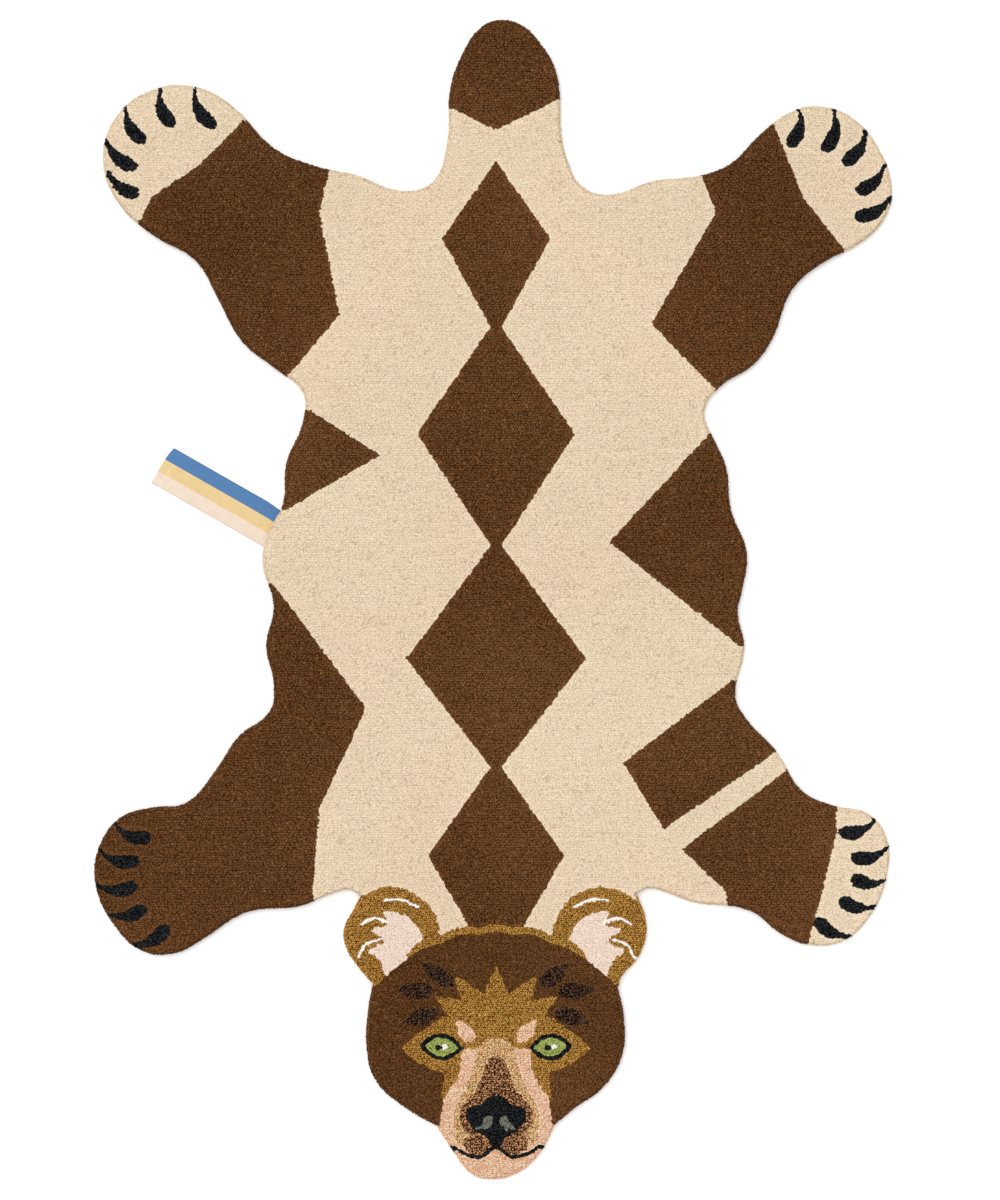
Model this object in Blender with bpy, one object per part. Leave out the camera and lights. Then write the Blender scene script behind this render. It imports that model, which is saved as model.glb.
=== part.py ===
"""A flat tufted rug in the shape of a bear hide, with a folded ribbon label under its left flank.

Metres, +Z up. The rug lies on z = 0 with its tail towards +Y, its head towards -Y and the
middle of its outline on the origin. Outline tables are in millimetres and run clockwise.
"""

import math

import bmesh
import bpy

MM = 0.001
GAP = 0.0003  # clearance between two pieces that meet
WELD = 0.00005  # points closer than this are one
FLAT = 0.99  # a face whose normal rises more than this lies level
SMOOTH_BELOW = math.radians(40)  # edges that bend less are shaded smooth

# Rug
RUG_THICKNESS = 0.0150  # backing and cut pile together
SHOULDER_RADIUS = 0.0070  # the pile leans out and rounds the rim
SHOULDER_STEPS = 3
BACK_EDGE = 0.0025  # the backing is turned in under the rim
STEPS_PER_KNOT = 4  # chords between two knots of the outline

# Ribbon label, one strip folded back on itself
LABEL_WIDTH = 0.0540
LABEL_LAYER = 0.0010
LABEL_LAYER_GAP = 0.0004
LABEL_OUT = 0.1640  # shows past the rug's rim, along the label's middle
LABEL_TUCK = 0.0170  # lies under the rug
LABEL_ANGLE = math.radians(150.3)  # from +X, pointing away from the rug
LABEL_ROOT = (-0.2868, 0.0933)  # the middle of the label where it leaves the rim
LABEL_FOLD_STEPS = 8
RECESS_RUN_OUT = 0.0700  # the recess is cut from under the rug out past its rim

# Colours, roughness
CREAM_WOOL = (0.79, 0.66, 0.46, 1.0)
RIBBON_BLUE = (0.07, 0.18, 0.42, 1.0)
WOOL_ROUGHNESS = 0.95
RIBBON_ROUGHNESS = 0.55

# Outline, one table for each limb. A knot is (x, y), and a third value marks a sharp notch.
NOTCH = True
TAIL_RIGHT = (
    (9, 750), (40, 741), (61, 719), (78, 692), (86, 655), (88, 603), (97, 565), (113, 536),
)
HIND_LEG_RIGHT = (
    (147, 524), (206, 542), (267, 549), (306, 564), (342, 600), (388, 633), (425, 638),
    (467, 621), (498, 584), (515, 536), (509, 498), (478, 463), (424, 434), (386, 400),
    (361, 337), (336, 303), (292, 274), (273, 243),
)
FLANK_RIGHT = (
    (286, 206), (301, 172), (307, 117), (328, 60), (322, 13), (316, -16), (325, -62),
    (313, -127),
)
FORE_LEG_RIGHT = (
    (325, -151), (367, -197), (400, -248), (440, -266), (484, -276), (508, -306), (509, -356),
    (488, -408), (452, -442), (408, -447), (370, -432), (332, -403), (258, -392), (225, -380),
    (200, -374), (185, -381, NOTCH),
)
EAR_RIGHT = (
    (196, -408), (197, -438), (185, -466), (166, -487), (161, -502, NOTCH),
)
CHEEK_RIGHT = (
    (169, -540), (167, -588), (143, -630), (104, -659), (80, -679, NOTCH),
)
MUZZLE = (
    (58, -719), (31, -742), (-2, -750), (-28, -744), (-54, -712), (-74, -681, NOTCH),
)
CHEEK_LEFT = (
    (-117, -656), (-154, -621), (-165, -580), (-163, -530), (-157, -497, NOTCH),
)
EAR_LEFT = (
    (-176, -475), (-192, -449), (-194, -425), (-182, -401), (-173, -384, NOTCH),
)
FORE_LEG_LEFT = (
    (-186, -376), (-204, -379), (-250, -397), (-320, -405), (-378, -441),
    (-412, -458), (-454, -455), (-490, -423), (-516, -366), (-511, -320), (-484, -282),
    (-440, -268), (-399, -263), (-362, -223), (-329, -175), (-290, -144),
)
FLANK_LEFT = (
    (-285, -110), (-295, -60), (-285, -8), (-300, 50), (-291, 88), (-273, 124), (-269, 177),
    (-248, 228), (-247, 267),
)
HIND_LEG_LEFT = (
    (-280, 296), (-326, 333), (-357, 389), (-386, 438), (-440, 470), (-488, 515), (-506, 570),
    (-487, 627), (-440, 660), (-388, 664), (-340, 641), (-284, 584), (-230, 561), (-176, 549),
    (-118, 529), (-80, 540),
)
TAIL_LEFT = (
    (-61, 590), (-57, 660), (-42, 704), (-16, 741),
)
OUTLINE = (
    TAIL_RIGHT + HIND_LEG_RIGHT + FLANK_RIGHT + FORE_LEG_RIGHT + EAR_RIGHT + CHEEK_RIGHT + MUZZLE
    + CHEEK_LEFT + EAR_LEFT + FORE_LEG_LEFT + FLANK_LEFT + HIND_LEG_LEFT + TAIL_LEFT
)


def clear_scene():
    """Remove every object that the file opened with."""
    for obj in list(bpy.data.objects):
        bpy.data.objects.remove(obj)


def new_collection(name):
    """Add a collection to the scene."""
    collection = bpy.data.collections.new(name)
    bpy.context.scene.collection.children.link(collection)
    return collection


def cloth_material(name, colour, roughness):
    """A Principled material of one colour."""
    material = bpy.data.materials.new(name)
    material.use_nodes = True
    shader = material.node_tree.nodes["Principled BSDF"]
    shader.inputs["Base Color"].default_value = colour
    shader.inputs["Roughness"].default_value = roughness
    shader.inputs["Metallic"].default_value = 0.0
    material.diffuse_color = colour
    return material


def outline_curve(name, knots, thickness):
    """A flat closed curve through the knots, filled, with its lower face on z = 0."""
    curve = bpy.data.curves.new(name, "CURVE")
    curve.dimensions = "2D"
    curve.fill_mode = "BOTH"
    curve.extrude = thickness / 2
    curve.resolution_u = STEPS_PER_KNOT
    spline = curve.splines.new("BEZIER")
    spline.bezier_points.add(len(knots) - 1)
    spline.use_cyclic_u = True
    for point, knot in zip(spline.bezier_points, knots):
        point.co = (knot[0] * MM, knot[1] * MM, 0.0)
        handle = "VECTOR" if len(knot) > 2 else "AUTO"
        point.handle_left_type = handle
        point.handle_right_type = handle
    obj = bpy.data.objects.new(name, curve)
    obj.location.z = thickness / 2
    return obj


def curve_to_mesh(curve_obj, collection):
    """Replace a curve object by a welded mesh object of the same name and place."""
    name = curve_obj.name
    bpy.context.scene.collection.objects.link(curve_obj)
    evaluated = curve_obj.evaluated_get(bpy.context.evaluated_depsgraph_get())
    mesh = bpy.data.meshes.new_from_object(evaluated)
    place = curve_obj.matrix_world.copy()
    bpy.data.objects.remove(curve_obj)
    mesh.name = name
    mesh.transform(place)
    bm = bmesh.new()
    bm.from_mesh(mesh)
    bmesh.ops.remove_doubles(bm, verts=bm.verts, dist=WELD)
    bm.to_mesh(mesh)
    bm.free()
    obj = bpy.data.objects.new(name, mesh)
    collection.objects.link(obj)
    return obj


def strip_curve(name, points, width):
    """A closed section through the points, filled and as wide as given, standing on its edge."""
    curve = bpy.data.curves.new(name, "CURVE")
    curve.dimensions = "2D"
    curve.fill_mode = "BOTH"
    curve.extrude = width / 2
    spline = curve.splines.new("POLY")
    spline.points.add(len(points) - 1)
    spline.use_cyclic_u = True
    for point, (along, height) in zip(spline.points, points):
        point.co = (along, height, 0.0, 1.0)
    return bpy.data.objects.new(name, curve)


def hairpin_section(length):
    """The edge view of a strip folded back on itself: outer skin, then inner skin."""
    outer = LABEL_LAYER + LABEL_LAYER_GAP / 2
    inner = LABEL_LAYER_GAP / 2
    turns = [math.pi * step / LABEL_FOLD_STEPS - math.pi / 2 for step in range(LABEL_FOLD_STEPS + 1)]
    middle = length - outer
    skin = [(0.0, 0.0)]
    skin += [(middle + outer * math.cos(a), outer + outer * math.sin(a)) for a in turns]
    skin += [(0.0, 2 * outer), (0.0, outer + inner)]
    skin += [(middle + inner * math.cos(a), outer + inner * math.sin(a)) for a in reversed(turns)]
    skin += [(0.0, outer - inner)]
    return skin


def cap_face(bm, side):
    """Join the triangles of one flat side into a single face: 1 is the top and -1 the back."""
    triangles = [face for face in bm.faces if face.normal.z * side > FLAT]
    return bmesh.ops.dissolve_faces(bm, faces=triangles)["region"][0]


def round_rim(obj):
    """Round the slab's upper rim as the pile leans out over it, and turn the backing in."""
    bm = bmesh.new()
    bm.from_mesh(obj.data)
    bmesh.ops.recalc_face_normals(bm, faces=bm.faces)
    top = cap_face(bm, 1)
    back = cap_face(bm, -1)
    back_edges = list(back.edges)
    bmesh.ops.bevel(
        bm, geom=list(top.edges), offset=SHOULDER_RADIUS, segments=SHOULDER_STEPS, profile=0.5,
        affect="EDGES", clamp_overlap=False, material=-1,
    )
    bmesh.ops.bevel(
        bm, geom=back_edges, offset=BACK_EDGE, segments=1, profile=0.5,
        affect="EDGES", clamp_overlap=False, material=-1,
    )
    bm.to_mesh(obj.data)
    bm.free()


def centre_on_origin(obj):
    """Shift a mesh sideways until its outline's middle is on the origin."""
    bm = bmesh.new()
    bm.from_mesh(obj.data)
    across = [v.co.x for v in bm.verts]
    along = [v.co.y for v in bm.verts]
    shift = (-(min(across) + max(across)) / 2, -(min(along) + max(along)) / 2, 0.0)
    bmesh.ops.translate(bm, verts=bm.verts, vec=shift)
    bm.to_mesh(obj.data)
    bm.free()


def make_rug(collection):
    """The backing and its cut pile, one slab with the hide's outline."""
    rug = curve_to_mesh(outline_curve("rug", OUTLINE, RUG_THICKNESS), collection)
    round_rim(rug)
    centre_on_origin(rug)
    rug.data.materials.append(cloth_material("cream_wool", CREAM_WOOL, WOOL_ROUGHNESS))
    rug.data.shade_smooth()
    rug.data.set_sharp_from_angle(angle=SMOOTH_BELOW)
    return rug


def along_label(distance):
    """The point on the label's middle line that far out from the rug's rim."""
    return (
        LABEL_ROOT[0] + distance * math.cos(LABEL_ANGLE),
        LABEL_ROOT[1] + distance * math.sin(LABEL_ANGLE),
        0.0,
    )


def make_label(collection):
    """The ribbon label, folded at its outer end, with its two raw ends under the rug."""
    section = hairpin_section(LABEL_TUCK + LABEL_OUT)
    strip = strip_curve("label", section, LABEL_WIDTH)
    strip.location = along_label(-LABEL_TUCK)
    strip.rotation_euler = (math.radians(90), 0.0, LABEL_ANGLE)
    label = curve_to_mesh(strip, collection)
    label.data.materials.append(cloth_material("ribbon", RIBBON_BLUE, RIBBON_ROUGHNESS))
    return label


def cut_label_recess(rug, collection):
    """Leave room in the rug's underside for the tucked end of the label."""
    label_height = 2 * LABEL_LAYER + LABEL_LAYER_GAP
    inner_end = -LABEL_TUCK - GAP
    bm = bmesh.new()
    bmesh.ops.create_cube(bm, size=1.0)
    bmesh.ops.scale(
        bm, verts=bm.verts,
        vec=(RECESS_RUN_OUT - inner_end, LABEL_WIDTH + 2 * GAP, 2 * (label_height + GAP)),
    )
    mesh = bpy.data.meshes.new("label_recess")
    bm.to_mesh(mesh)
    bm.free()
    cutter = bpy.data.objects.new("label_recess", mesh)
    cutter.location = along_label((inner_end + RECESS_RUN_OUT) / 2)
    cutter.rotation_euler.z = LABEL_ANGLE
    cutter.hide_render = True
    cutter.display_type = "WIRE"
    collection.objects.link(cutter)
    cut = rug.modifiers.new("label_recess", "BOOLEAN")
    cut.operation = "DIFFERENCE"
    cut.solver = "EXACT"
    cut.object = cutter


def main():
    clear_scene()
    parts = new_collection("bear_rug")
    cutters = new_collection("cutters")
    rug = make_rug(parts)
    make_label(parts)
    cut_label_recess(rug, cutters)


main()
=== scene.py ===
import math
from functools import partial

import bmesh
import bpy
import numpy as np
from mathutils import Euler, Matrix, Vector
from mathutils.kdtree import KDTree


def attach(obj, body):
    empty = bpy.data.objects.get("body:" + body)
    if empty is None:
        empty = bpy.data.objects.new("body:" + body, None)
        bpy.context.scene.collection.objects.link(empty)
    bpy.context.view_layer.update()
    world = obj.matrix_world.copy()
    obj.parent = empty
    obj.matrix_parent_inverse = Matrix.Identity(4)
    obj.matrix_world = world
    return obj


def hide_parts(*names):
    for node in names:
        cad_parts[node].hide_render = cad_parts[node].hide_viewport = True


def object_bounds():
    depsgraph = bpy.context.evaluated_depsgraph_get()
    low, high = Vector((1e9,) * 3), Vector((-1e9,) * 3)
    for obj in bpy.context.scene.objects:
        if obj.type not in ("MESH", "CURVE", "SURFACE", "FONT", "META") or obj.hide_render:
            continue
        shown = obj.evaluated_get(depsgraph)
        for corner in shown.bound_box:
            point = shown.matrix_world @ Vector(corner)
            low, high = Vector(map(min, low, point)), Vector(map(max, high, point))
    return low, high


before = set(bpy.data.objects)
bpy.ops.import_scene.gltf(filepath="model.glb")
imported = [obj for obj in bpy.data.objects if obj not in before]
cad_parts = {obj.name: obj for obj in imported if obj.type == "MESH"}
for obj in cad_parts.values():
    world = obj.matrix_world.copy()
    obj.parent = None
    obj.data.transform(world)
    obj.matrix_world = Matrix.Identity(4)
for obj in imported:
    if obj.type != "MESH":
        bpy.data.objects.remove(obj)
cadLow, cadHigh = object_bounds()
print("bear rug: frame loaded")

# Drawings and pile layout are in millimetres, meshes in metres.
mm = 0.001
weld = 0.00005
dice = np.random.default_rng(41)


# Materials and node groups
def fill(node, inputs):
    # gives each input its value or its link
    for place, value in inputs.items():
        if isinstance(value, bpy.types.NodeSocket):
            node.id_data.links.new(value, node.inputs[place])
        else:
            node.inputs[place].default_value = value


def addNode(tree, kind, inputs=None, **options):
    node = tree.nodes.new("ShaderNode" + kind)
    for option, value in options.items():
        setattr(node, option, value)
    fill(node, inputs or {})
    return node


def maths(tree, kind, *values):
    return addNode(tree, "Math", dict(enumerate(values)), operation=kind).outputs[0]


def startMaterial(name, finish):
    made = bpy.data.materials.new(name)
    made.use_nodes = True
    shader = made.node_tree.nodes["Principled BSDF"]
    fill(shader, {"Roughness": finish["roughness"], "Specular IOR Level": finish["specular"]})
    return made, shader


def startGroup(name, inputs):
    # every group here gives a colour and a normal
    group = bpy.data.node_groups.new(name, "ShaderNodeTree")
    for title, kind, value in inputs:
        made = group.interface.new_socket(title, in_out="INPUT", socket_type="NodeSocket" + kind)
        if value is not None:
            made.default_value = value
    for title, kind in (("Color", "Color"), ("Normal", "Vector")):
        group.interface.new_socket(title, in_out="OUTPUT", socket_type="NodeSocket" + kind)
    return group, group.nodes.new("NodeGroupInput").outputs


def endGroup(group, colour, normal):
    fill(group.nodes.new("NodeGroupOutput"), {"Color": colour, "Normal": normal})
    return group


# Studio
studio = {
    "floorSize": 400.0,
    "floorColour": (0.97, 0.97, 0.965),
    "roughness": 0.9,
    "specular": 0.1,
    "skyColour": (1.0, 1.0, 1.0),
    "skyStrength": 0.93,
    "keyStrength": 1.40,
    "keySpread": 50.0,  # degrees, the apparent width of the soft box
    "keyTurn": (24.0, 0.0, 220.0),
    "lens": 85.0,
    "cameraPlace": (0.0090, -0.0006, 3.6700),
}


def makeStudio():
    bpy.ops.mesh.primitive_plane_add(size=studio["floorSize"], location=(0.0, 0.0, 0.0))
    floor = bpy.context.object
    floor.name = "studioFloor"
    paint, shader = startMaterial("studioPaper", studio)
    fill(shader, {"Base Color": (*studio["floorColour"], 1.0)})
    floor.data.materials.append(paint)

    sky = bpy.data.worlds.new("studioSky")
    bpy.context.scene.world = sky
    sky.use_nodes = True
    fill(sky.node_tree.nodes["Background"],
         {"Color": (*studio["skyColour"], 1.0), "Strength": studio["skyStrength"]})

    light = bpy.data.lights.new("softKey", "SUN")
    light.energy = studio["keyStrength"]
    light.angle = math.radians(studio["keySpread"])
    key = bpy.data.objects.new("softKey", light)
    key.rotation_euler = Euler([math.radians(a) for a in studio["keyTurn"]])
    bpy.context.scene.collection.objects.link(key)

    eye = bpy.data.cameras.new("overhead")
    eye.lens = studio["lens"]
    camera = bpy.data.objects.new("overhead", eye)
    camera.location = studio["cameraPlace"]
    bpy.context.scene.collection.objects.link(camera)
    bpy.context.scene.camera = camera
    bpy.context.scene.view_settings.view_transform = "Standard"


makeStudio()
print("bear rug: studio ready")


# Shapes drawn on the backing
def through(before, here, after, beyond, t):
    # a smooth curve from here to after, at share t of the way
    return 0.5 * (2 * here + (after - before) * t
                  + (2 * before - 5 * here + 4 * after - beyond) * t ** 2
                  + (3 * here - before - 3 * after + beyond) * t ** 3)


def smoothLoop(knots, steps=6):
    points = np.array(knots, float)
    before, after, beyond = (np.roll(points, shift, 0) for shift in (1, -1, -2))
    loop = [through(before, points, after, beyond, t) for t in np.arange(steps) / steps]
    return np.stack(loop, 1).reshape(-1, 2)


def placed(points, x, y, turn):
    c, s = math.cos(math.radians(turn)), math.sin(math.radians(turn))
    return np.array(points, float) @ np.array([[c, s], [-s, c]]) + (x, y)


def oval(x, y, width, height, turn=0.0, steps=28):
    a = np.arange(steps) * 2 * math.pi / steps
    return placed(np.stack([width / 2 * np.cos(a), height / 2 * np.sin(a)], 1), x, y, turn)


def leaf(x, y, width, height, turn=0.0, steps=14, fullness=0.8):
    t = np.arange(steps + 1) / steps
    rise = height / 2 * np.abs(np.sin(math.pi * t)) ** fullness
    top = np.stack([width * (t - 0.5), rise], 1)
    return placed(np.concatenate([top, (top * (1, -1))[-2:0:-1]]), x, y, turn)


def tongue(x, y, length, width, turn, bend=0.0, steps=12, roundShare=0.28, sharpness=1.6):
    # a round root at x, y and a point one length away
    t = np.arange(steps + 1) / steps
    root = np.sqrt(np.clip(1 - (1 - t / roundShare) ** 2, 0, 1))
    taper = 1 - np.clip((t - roundShare) / (1 - roundShare), 0, 1) ** sharpness
    half = width / 2 * np.where(t < roundShare, root, taper)
    side = bend * length * t ** 2
    left = np.stack([length * t, side + half], 1)
    right = np.stack([length * t, side - half], 1)
    return placed(np.concatenate([left, right[::-1]]), x, y, turn)


def stroke(knots, width, steps=6):
    points = np.array([knots[0], *knots, knots[-1]], float)
    path = [through(*four, t) for four in zip(points, points[1:], points[2:], points[3:])
            for t in np.arange(steps) / steps]
    path = np.array(path + [points[-1]])
    along = np.gradient(path, axis=0)
    along /= np.hypot(*along.T)[:, None]
    side = along[:, ::-1] * (-1, 1) * width / 2
    return np.concatenate([path + side, (path - side)[::-1]])


def claw(root, tip, width, sweep, steps=15):
    # a comma: plump at the root, thin at the tip, swept to one side of the straight line
    root, tip = np.array(root, float), np.array(tip, float)
    along = tip - root
    side = np.array([-along[1], along[0]])
    t = np.linspace(0.0, 1.0, steps)[:, None]
    middle = root + along * t + side * sweep * 4 * t * (1 - t)
    run = np.gradient(middle, axis=0)
    run /= np.hypot(*run.T)[:, None]
    plump = np.interp(t[:, 0], (0.0, 0.05, 0.14, 0.30, 0.48, 0.64, 0.80, 1.0),
                      (0.35, 0.74, 0.96, 1.0, 0.88, 0.58, 0.34, 0.16))
    across = run[:, ::-1] * (-1, 1) * plump[:, None] * width / 2
    return np.concatenate([middle + across, (middle - across)[::-1]])


def walk(loop, step, shift=0.0):
    # points a step apart round a loop, and the unit vector to the left of each
    ends = np.roll(loop, -1, 0)
    lengths = np.hypot(*(ends - loop).T)
    reach = np.concatenate([[0], np.cumsum(lengths)])
    count = max(int(round(reach[-1] / step)), 3)
    at = (np.arange(count) + shift) * reach[-1] / count
    piece = np.clip(np.searchsorted(reach, at, "right") - 1, 0, len(loop) - 1)
    share = ((at - reach[piece]) / np.maximum(lengths[piece], 1e-9))[:, None]
    points = loop[piece] * (1 - share) + ends[piece] * share
    along = np.roll(points, -1, 0) - np.roll(points, 1, 0)
    along /= np.maximum(np.hypot(*along.T), 1e-9)[:, None]
    return points, along[:, ::-1] * (-1, 1)


# The hide's pattern
edging = {  # every few millimetres a tuft or two slips over the drawn line
    "step": 3.4,
    "slip": 0.80,
    "fineSlip": 0.40,
    "fine": ("brown", "black", "white", "green"),
}

spine = {  # a chain of harlequin lozenges
    "middle": 4.0,
    "neck": 7.0,  # half the width between two lozenges
    "ends": (566, 352, 70, -216, -470),
    "corners": ((466, 70), (214, 102), (-76, 116), (-330, 88)),  # place and half width
}

flankFields = (
    ((-120, 668), (4, 606), (130, 668), (130, 800), (-120, 800)),
    ((400, 232), (286, 222), (150, 74), (326, -66), (400, -66)),
    ((420, -98), (322, -94), (168, -210), (220, -296), (366, -196), (420, -160)),
    ((-400, 256), (-244, 250), (-146, 186), (-268, 116), (-400, 116)),
    ((-400, 22), (-285, 22), (-164, -140), (-224, -270), (-240, -500), (-600, -500),
     (-600, -200)),
    ((244, -322), (384, -216), (440, -230), (444, -300), (398, -480), (314, -480), (300, -376)),
    ((232, 640), (288, 500), (204, 356), (296, 262), (420, 300), (470, 430), (400, 520),
     (352, 640)),
    ((-196, 620), (-224, 500), (-198, 368), (-262, 292), (-330, 270), (-480, 440), (-440, 520),
     (-380, 560), (-300, 640)),
)

# Claws: root and tip of each, tail paws first
claws = {
    "width": 18.5,
    "sweep": 0.17,
    "left": (
        ((-357, 611), (-385, 661)), ((-411, 612), (-428, 662)), ((-448, 591), (-473, 638)),
        ((-459, 558), (-500, 601)), ((-456, 525), (-497, 554)),
        ((-441, -305), (-488, -290)), ((-457, -335), (-507, -323)), ((-460, -367), (-513, -366)),
        ((-449, -395), (-497, -405)), ((-420, -420), (-468, -444)),
    ),
    "right": (
        ((380, 585), (394, 635)), ((426, 579), (438, 633)), ((450, 564), (480, 608)),
        ((468, 528), (505, 563)), ((467, 495), (513, 523)),
        ((446, -299), (494, -282)), ((462, -331), (510, -318)), ((463, -357), (508, -360)),
        ((448, -385), (497, -393)), ((418, -411), (462, -433)),
    ),
}

face = {
    "axis": 4.0,
    "ear": (136.0, -437.0, 128.0, 134.0),
    "crest": ((0, -433), (46, -437), (88, -452)),  # scallops, middle to side
    "scallop": (62.0, 28.0, 10.0),  # width, height, how much ochre shows
    "scallopTurn": -0.32,  # degrees for each millimetre from the middle
    "jaw": (-640, 120),  # below this place all is head, this far to each side
    "blazeRoot": -570.0,
    "blazeWide": 46.0,
    "blaze": ((90, 97, 0.0), (66, 99, -0.14), (114, 99, 0.14), (46, 98, -0.17),
              (134, 98, 0.17)),  # turn, length and bend
    "temples": ((60, -497, 31), (84, -505, -2), (80, -530, -25)),  # root and turn
    "temple": (48, 22),  # length and width
    "eye": (70.5, -577.0, 4.0),  # middle and tilt
    "lids": (56, 35),
    "iris": (42, 24),
    "pupil": (-4, -1, 8),  # place in the eye and width
    "glint": (4, 0, 7),
    "earLine": 3.4,
    "mouthLine": 4.6,
}


def bothSides(yarn, points):
    points = np.array(points, float)
    other = points * (-1, 1) + (2 * face["axis"], 0)
    return [(yarn, points), (yarn, other)]


def lozengeChain():
    right = [(spine["middle"], spine["ends"][0])]
    for (place, half), end in zip(spine["corners"], spine["ends"][1:]):
        right.append((spine["middle"] + half, place))
        right.append((spine["middle"] + spine["neck"], end))
    left = [(2 * spine["middle"] - x, y) for x, y in reversed(right[1:])]
    return np.array(right + left, float)


def drawBody():
    drawn = [("brown", lozengeChain())]
    return drawn + [("brown", np.array(field, float)) for field in flankFields]


def drawClaws():
    drawn = []
    for side, sweep in (("left", claws["sweep"]), ("right", -claws["sweep"])):
        for root, tip in claws[side]:
            drawn.append(("black", claw(root, tip, claws["width"], sweep)))
    return drawn


def drawEars():
    x, y, width, height = face["ear"]
    return bothSides("ochre", oval(x + face["axis"], y, width, height))


def drawInnerEars():
    drawn = bothSides("petal", smoothLoop((
        (93, -462), (97, -440), (108, -419), (124, -407), (150, -402), (144, -420), (165, -425),
        (149, -441), (170, -453), (156, -464), (140, -490), (112, -482))))
    for knots in (((104, -397), (126, -387), (150, -388)), ((142, -417), (162, -411), (180, -420)),
                  ((154, -438), (174, -446), (182, -464))):
        drawn += bothSides("white", stroke(knots, face["earLine"]))
    return drawn


def drawHead():
    # a scalloped crest behind the brow, then the round of the head
    axis = face["axis"]
    width, height, edge = face["scallop"]
    bumps = []
    for x, y in face["crest"]:
        for side in {x, -x}:
            bumps.append((axis + side, y, face["scallopTurn"] * side))
    drawn = [("ochre", oval(x, y, width, height, turn)) for x, y, turn in bumps]
    half = ((0, -434), (59, -441), (93, -450), (118, -466), (143, -487), (172, -520), (200, -580),
            (196, -640), (150, -690), (0, -706))
    knots = [(axis + x, y) for x, y in half] + [(axis - x, y) for x, y in half[-2:0:-1]]
    drawn += [("brown", oval(x, y - edge, width, height, turn)) for x, y, turn in bumps[:3]]
    drawn.append(("brown", smoothLoop(knots)))
    return drawn


def drawMask():
    axis = face["axis"]
    drawn = []
    for x, y, turn in face["temples"]:
        drawn += bothSides("dusk", tongue(x, y, *face["temple"], turn, 0.08, roundShare=0.42))
    drawn += [("ochre", tongue(axis, face["blazeRoot"], length, face["blazeWide"], turn, bend))
              for turn, length, bend in face["blaze"]]
    drawn += bothSides("ochre", leaf(67, -577, 116, 64, -2))
    drawn += bothSides("ochre", tongue(44, -552, 52, 34, -6, roundShare=0.5))
    drawn += bothSides("ochre", smoothLoop((
        (20, -540), (70, -556), (86, -588), (72, -612), (74, -640), (62, -676), (30, -680))))
    drawn.append(("ochre", oval(axis, -552, 118, 70)))
    return drawn


def drawMuzzle():
    axis = face["axis"]

    def even(yarn, half):
        # half a shape from top to bottom, and the same on the other side
        points = [(axis + x, y) for x, y in half]
        points += [(axis - x, y) for x, y in reversed(half) if x > 0]
        return yarn, smoothLoop(points)

    drawn = bothSides("blush", smoothLoop((
        (24, -586), (34, -580), (47, -581), (50, -606), (57, -622), (67, -636), (73, -652),
        (76, -680), (73, -712), (40, -716), (20, -640))))
    drawn += [
        even("blush", ((0, -690), (60, -696), (72, -716), (50, -774), (0, -790))),
        even("sand", ((0, -566), (14, -569), (24, -582), (30, -606), (40, -633), (49, -648),
                      (54, -664), (54, -684), (48, -702), (0, -714))),
        even("bridge", ((0, -588), (8, -591), (14, -602), (20, -619), (26, -634), (36, -645),
                        (46, -658), (44, -680), (28, -695), (0, -702))),
    ]
    drawn += bothSides("bridge", oval(axis + 24, -703, 35, 27, 12))
    drawn.append(even("black", ((0, -640), (11, -642), (19, -651), (36, -656), (38, -670),
                                (28, -684), (12, -694), (5, -706))))
    drawn += bothSides("grey", claw((axis + 9, -666), (axis + 28, -682), 12.5, -0.24))
    drawn.append(("black", stroke((
        (axis - 58, -704), (axis - 42, -714), (axis - 20, -719), (axis - 5, -708),
        (axis + 5, -708), (axis + 20, -719), (axis + 42, -714), (axis + 58, -704)),
        face["mouthLine"])))
    return drawn


def drawEyes():
    x, y, tilt = face["eye"]
    x += face["axis"]
    drawn = bothSides("blush", tongue(31, -570, 37, 19, 42, 0.1, roundShare=0.45))
    drawn += bothSides("black", leaf(x, y, *face["lids"], tilt))
    drawn += bothSides("green", leaf(x, y, *face["iris"], tilt))
    for side in (x, 2 * face["axis"] - x):
        for yarn, part in (("black", "pupil"), ("white", "glint")):
            across, up, size = face[part]
            drawn.append((yarn, oval(side + across, y + up, size, size)))
    return drawn


def tufted(yarn, loop):
    slip = edging["fineSlip"] if yarn in edging["fine"] else edging["slip"]
    points, side = walk(loop, edging["step"])
    return yarn, points + side * dice.normal(0, slip, (len(points), 1))


headShapes = drawEars() + drawInnerEars() + drawHead()
shapes = drawBody() + headShapes + drawMask() + drawMuzzle() + drawEyes() + drawClaws()
shapes = [tufted(yarn, loop) for yarn, loop in shapes]


def inLoop(points, loop):
    inside = np.zeros(len(points), bool)
    low, high = loop.min(0), loop.max(0)
    near = np.flatnonzero(((points >= low) & (points <= high)).all(1))
    x, y = points[near].T
    hit = np.zeros(len(near), bool)
    for (ax, ay), (bx, by) in zip(loop, np.roll(loop, -1, 0)):
        if ay == by:
            continue
        spans = (ay > y) != (by > y)
        hit ^= spans & (x < (bx - ax) * (y - ay) / (by - ay) + ax)
    inside[near] = hit
    return inside


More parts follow.
